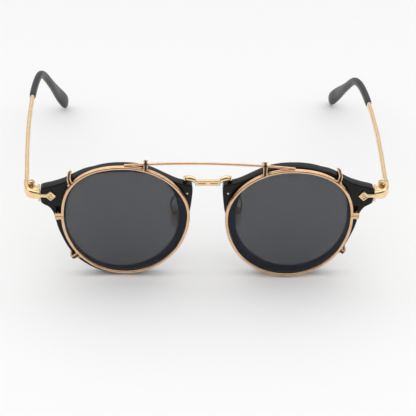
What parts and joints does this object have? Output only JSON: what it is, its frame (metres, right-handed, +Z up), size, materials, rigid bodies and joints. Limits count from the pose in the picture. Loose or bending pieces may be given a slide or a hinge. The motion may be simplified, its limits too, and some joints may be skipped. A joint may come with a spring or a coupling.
{
  "type": "clip on sunglasses",
  "caption": "Round black acetate spectacles with a metal saddle bridge, folding gold temples and nose pads, and a tinted metal clip-on sun frame that lifts off the front.",
  "frame": {"origin": "on the table, at the middle of the footprint of the open spectacles with the clip-on in place", "axes": "+X to the wearer's left, +Y back from the lenses along the temples, +Z up"},
  "size_m": [0.1492, 0.148, 0.0546],
  "materials": {
    "black_acetate": "polished black",
    "pale_gold": "polished pale gold plating",
    "rose_gold": "polished rose gold plating",
    "temple_tip_black": "satin black",
    "screw_steel": "gold plated steel",
    "clear_lens": "clear polished",
    "smoke_lens": "dark smoke tint, polished",
    "silicone": "clear silicone",
    "claw_rubber": "matte black"
  },
  "bodies": {
    "front": {"acetate_rim_left": "black_acetate", "acetate_rim_right": "black_acetate", "base_lens_left": "clear_lens", "base_lens_right": "clear_lens", "bridge": "pale_gold", "bridge_rivet_left": "screw_steel", "bridge_rivet_right": "screw_steel", "end_piece_left": "pale_gold", "end_piece_right": "pale_gold", "hinge_screw_left": "screw_steel", "hinge_screw_right": "screw_steel", "pad_arm_left": "pale_gold", "pad_arm_right": "pale_gold", "pad_screw_left": "screw_steel", "pad_screw_right": "screw_steel"},
    "temple_left_arm": {"temple_left": "pale_gold", "temple_tip_left": "temple_tip_black"},
    "temple_right_arm": {"temple_right": "pale_gold", "temple_tip_right": "temple_tip_black"},
    "pad_left": {"nose_pad_left": "silicone"},
    "pad_right": {"nose_pad_right": "silicone"},
    "clip_on": {"claw_pad_lower_outer_left": "claw_rubber", "claw_pad_lower_outer_right": "claw_rubber", "claw_pad_top_inner_left": "claw_rubber", "claw_pad_top_inner_right": "claw_rubber", "claw_pad_top_outer_left": "claw_rubber", "claw_pad_top_outer_right": "claw_rubber", "clip_brow_bar": "rose_gold", "clip_claw_lower_outer_left": "rose_gold", "clip_claw_lower_outer_right": "rose_gold", "clip_claw_top_inner_left": "rose_gold", "clip_claw_top_inner_right": "rose_gold", "clip_claw_top_outer_left": "rose_gold", "clip_claw_top_outer_right": "rose_gold", "clip_lens_left": "smoke_lens", "clip_lens_right": "smoke_lens", "clip_rim_left": "rose_gold", "clip_rim_right": "rose_gold", "closing_block_lower_left": "rose_gold", "closing_block_lower_right": "rose_gold", "closing_block_upper_left": "rose_gold", "closing_block_upper_right": "rose_gold", "closing_screw_left": "screw_steel", "closing_screw_right": "screw_steel"}
  },
  "joints": [
    {"name": "temple_left_fold", "type": "hinge", "parent": "front", "child": "temple_left_arm", "pos_m": [0.0698, -0.06368, 0.03748], "axis": [0, 0, 1], "range_deg": [0, 78]},
    {"name": "temple_right_fold", "type": "hinge", "parent": "front", "child": "temple_right_arm", "pos_m": [-0.0698, -0.06368, 0.03748], "axis": [0, 0, -1], "range_deg": [0, 86]},
    {"name": "nose_pad_left_rock", "type": "hinge", "parent": "front", "child": "pad_left", "pos_m": [0.01298, -0.06033, 0.02361], "axis": [0.3897, 0.8907, 0.2343], "range_deg": [-8, 8]},
    {"name": "nose_pad_right_rock", "type": "hinge", "parent": "front", "child": "pad_right", "pos_m": [-0.01298, -0.06033, 0.02361], "axis": [-0.3897, 0.8907, 0.2343], "range_deg": [-8, 8]},
    {"name": "clip_on_lift_off", "type": "slide", "parent": "front", "child": "clip_on", "axis": [0, -1, 0], "range_m": [0, 0.03]}
  ]
}
